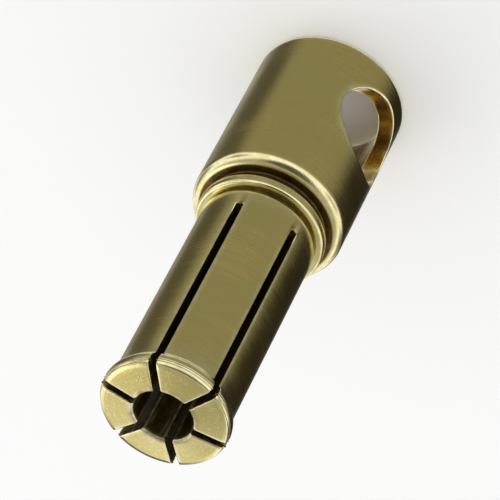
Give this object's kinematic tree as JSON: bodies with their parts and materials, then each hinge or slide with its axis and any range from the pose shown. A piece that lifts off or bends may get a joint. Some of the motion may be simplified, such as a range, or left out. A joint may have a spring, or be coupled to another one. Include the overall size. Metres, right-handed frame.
{
  "type": "slotted bullet connector plug",
  "caption": "Gold plated slotted bullet plug for a battery lead: spring nose on a slotted shaft, collar ring, and a hollow solder cup with a cross-drilled window.",
  "frame": {"origin": "centre of the solder cup's rim, the end the plug stands on", "axes": "+Z along the plug's axis from the solder cup towards the contact nose, Y along the cross hole through the cup"},
  "size_m": [0.005, 0.005, 0.0158],
  "materials": {
    "gold_plated_brass": "satin gold plating over turned brass"
  },
  "bodies": {
    "root": {"plug_body": "gold_plated_brass"}
  },
  "joints": []
}
